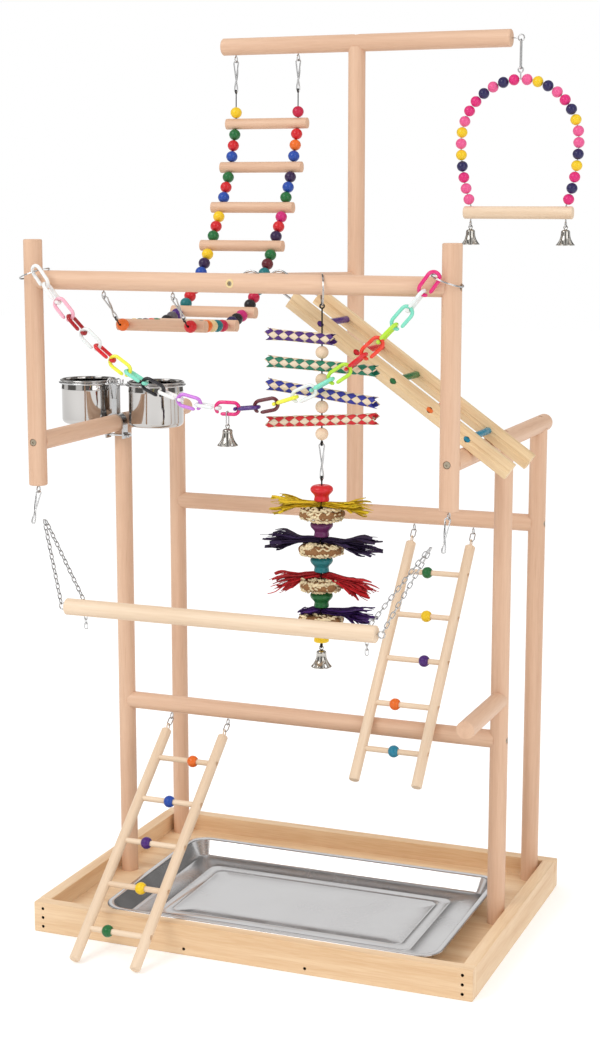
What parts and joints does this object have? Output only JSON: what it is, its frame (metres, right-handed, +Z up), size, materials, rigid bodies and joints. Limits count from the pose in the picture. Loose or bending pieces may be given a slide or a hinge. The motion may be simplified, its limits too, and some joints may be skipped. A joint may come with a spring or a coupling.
{
  "type": "parrot play stand",
  "caption": "Wooden dowel play stand for a parrot, on a boxed tray base, with perches, swing, beaded arch, bead bridge, chain, hanging toy, ladders, ramp and feeding cups.",
  "frame": {"origin": "middle of the base's underside, on the ground", "axes": "+X to the right seen from the front, +Y to the back, +Z up"},
  "size_m": [0.7473, 0.541, 1.2675],
  "materials": {
    "pine": "clear sealed pine with knots, satin",
    "dowel": "smooth sanded beech dowel, bare",
    "pale_dowel": "smooth sanded pale dowel, bare",
    "bead_wood": "wooden beads and rungs stained in bright colours",
    "toy_wood": "turned wood, bare or stained",
    "tray_steel": "bright stainless sheet",
    "cup_steel": "polished stainless steel",
    "wire_steel": "bright plated steel wire",
    "screw_steel": "zinc plated steel",
    "bell_steel": "nickel plated sheet",
    "link_plastic": "glossy moulded plastic in many colours",
    "string": "twisted cotton string",
    "woven_tube": "woven palm strip, coloured and natural",
    "raffia": "flat raffia strips",
    "loofah": "dried loofah slices"
  },
  "bodies": {
    "root": {"base_board_front": "pine", "base_board_back": "pine", "base_board_left": "pine", "base_board_right": "pine", "base_panel": "pine", "base_nails": "screw_steel", "frame_screws": "screw_steel", "post_front_left": "dowel", "post_front_right": "dowel", "post_back_left": "dowel", "post_back_right": "dowel", "side_perch_left": "dowel", "side_perch_right": "dowel", "hanger_post_left": "dowel", "hanger_post_right": "dowel", "front_crossbar": "dowel", "back_crossbar": "dowel", "lower_crossbar": "dowel", "stub_perch": "dowel", "mast": "dowel", "top_perch": "dowel", "centre_perch": "dowel", "screw_eyes": "wire_steel", "cup_bracket": "wire_steel", "chain_rings": "wire_steel", "bead_bridge_rungs": "bead_wood", "bead_bridge_beads": "bead_wood", "bead_bridge_strings": "string", "bead_bridge_hooks": "wire_steel"},
    "tray": {"tray": "tray_steel"},
    "cup_left": {"cup_left": "cup_steel"},
    "cup_right": {"cup_right": "cup_steel"},
    "wing_nut": {"cup_wing_nut": "wire_steel"},
    "swing": {"swing_perch": "pale_dowel", "swing_fittings": "wire_steel", "swing_chains": "wire_steel"},
    "arch": {"arch_wire": "wire_steel", "arch_beads": "bead_wood", "arch_perch": "pale_dowel"},
    "arch_bell_left": {"arch_bell_left": "bell_steel"},
    "arch_bell_right": {"arch_bell_right": "bell_steel"},
    "chain": {"plastic_chain": "link_plastic"},
    "chain_bell": {"chain_bell": "bell_steel"},
    "toy": {"toy_cord": "string", "toy_tubes": "woven_tube", "toy_balls": "toy_wood"},
    "toy_low": {"toy_low_cord": "string", "toy_knobs": "toy_wood", "toy_raffia": "raffia", "toy_loofahs": "loofah"},
    "toy_bell": {"toy_bell": "bell_steel"},
    "low_ladder": {"low_ladder_rails": "pale_dowel", "low_ladder_rungs": "pale_dowel"},
    "low_ladder_beads": {"low_ladder_beads": "bead_wood"},
    "mid_ladder": {"mid_ladder_rails": "pale_dowel", "mid_ladder_rungs": "pale_dowel"},
    "mid_ladder_beads": {"mid_ladder_beads": "bead_wood"},
    "ramp": {"ramp_rails": "pale_dowel", "ramp_hooks": "wire_steel", "ramp_rungs": "bead_wood"}
  },
  "joints": [
    {"name": "tray_lift", "type": "slide", "parent": "root", "child": "tray", "axis": [0, 0, 1], "range_m": [0, 0.02]},
    {"name": "cup_left_lift", "type": "slide", "parent": "root", "child": "cup_left", "axis": [0, 0, 1], "range_m": [0, 0.08]},
    {"name": "cup_right_lift", "type": "slide", "parent": "root", "child": "cup_right", "axis": [0, 0, 1], "range_m": [0, 0.08]},
    {"name": "wing_nut_turn", "type": "hinge", "parent": "root", "child": "wing_nut", "pos_m": [-0.29, -0.014, 0.6915], "axis": [1, 0, 0], "continuous": true},
    {"name": "swing_sway", "type": "hinge", "parent": "root", "child": "swing", "pos_m": [0, -0.2458, 0.6417], "axis": [-1, 0, 0], "range_deg": [0, 55]},
    {"name": "arch_sway", "type": "hinge", "parent": "root", "child": "arch", "pos_m": [0.2525, 0.1915, 1.2506], "axis": [1, 0, 0], "range_deg": [-30, 30]},
    {"name": "arch_bell_left_sway", "type": "hinge", "parent": "arch", "child": "arch_bell_left", "pos_m": [0.1825, 0.1915, 0.9954], "axis": [1, 0, 0], "range_deg": [-25, 25]},
    {"name": "arch_bell_right_sway", "type": "hinge", "parent": "arch", "child": "arch_bell_right", "pos_m": [0.3225, 0.1915, 0.9954], "axis": [1, 0, 0], "range_deg": [-25, 25]},
    {"name": "chain_sway", "type": "hinge", "parent": "root", "child": "chain", "pos_m": [0, -0.26605, 0.93842], "axis": [-1, 0, 0], "range_deg": [0, 30]},
    {"name": "chain_bell_sway", "type": "hinge", "parent": "chain", "child": "chain_bell", "pos_m": [0, -0.26605, 0.7604], "axis": [1, 0, 0], "range_deg": [-20, 20]},
    {"name": "toy_sway", "type": "hinge", "parent": "root", "child": "toy", "pos_m": [0.121, -0.245, 0.926], "axis": [1, 0, 0], "range_deg": [0, 9]},
    {"name": "toy_low_sway", "type": "hinge", "parent": "toy", "child": "toy_low", "pos_m": [0.121, -0.245, 0.7241], "axis": [0, 1, 0], "range_deg": [-12, 12]},
    {"name": "toy_bell_sway", "type": "hinge", "parent": "toy_low", "child": "toy_bell", "pos_m": [0.121, -0.245, 0.4635], "axis": [1, 0, 0], "range_deg": [-25, 25]},
    {"name": "low_ladder_lift", "type": "hinge", "parent": "root", "child": "low_ladder", "pos_m": [-0.17, 0.007, 0.2658], "axis": [-1, 0, 0], "range_deg": [0, 40]},
    {"name": "low_ladder_beads_slide", "type": "slide", "parent": "low_ladder", "child": "low_ladder_beads", "axis": [1, 0, 0], "range_m": [-0.012, 0.012]},
    {"name": "mid_ladder_lift", "type": "hinge", "parent": "root", "child": "mid_ladder", "pos_m": [0.148, 0.1915, 0.5428], "axis": [-1, 0, 0], "range_deg": [0, 25]},
    {"name": "mid_ladder_beads_slide", "type": "slide", "parent": "mid_ladder", "child": "mid_ladder_beads", "axis": [1, 0, 0], "range_m": [-0.012, 0.012]},
    {"name": "ramp_lift", "type": "hinge", "parent": "root", "child": "ramp", "pos_m": [0, -0.14, 0.922], "axis": [0, -1, 0], "range_deg": [0, 20]}
  ]
}
